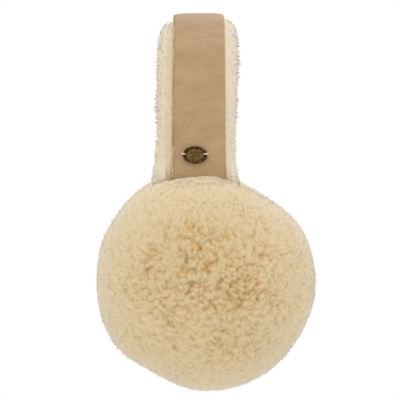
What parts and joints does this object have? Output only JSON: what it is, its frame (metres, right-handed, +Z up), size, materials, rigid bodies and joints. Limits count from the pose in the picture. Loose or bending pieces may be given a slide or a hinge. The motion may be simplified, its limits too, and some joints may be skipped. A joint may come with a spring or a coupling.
{
  "type": "fur earmuffs",
  "caption": "Round sheepskin ear pads on a sprung headband lined with curly wool and faced with a suede strip that carries a small oval metal badge.",
  "frame": {"origin": "middle of the band's under side at the crown, where it sits on the top of the head", "axes": "+Z up; +X to the wearer's left ear, across the head; the wearer looks along -Y"},
  "size_m": [0.2263, 0.1119, 0.2014],
  "materials": {
    "wool_pad": "curly sheepskin pile in small pointed tufts, cream at the tips and straw in the crevices",
    "wool_band": "short curly shearling pile, off-white cream",
    "suede": "brushed suede, matt, with a fine nap and turned edges",
    "antique_brass": "antiqued brass, dark in the recess and rubbed bright on the rim"
  },
  "bodies": {
    "root": {"band_wool_lining": "wool_band", "band_suede_strip": "suede", "badge": "antique_brass", "pad_outer_fleece_left": "wool_pad", "pad_outer_fleece_right": "wool_pad", "pad_inner_fleece_left": "wool_pad", "pad_inner_fleece_right": "wool_pad"}
  },
  "joints": []
}
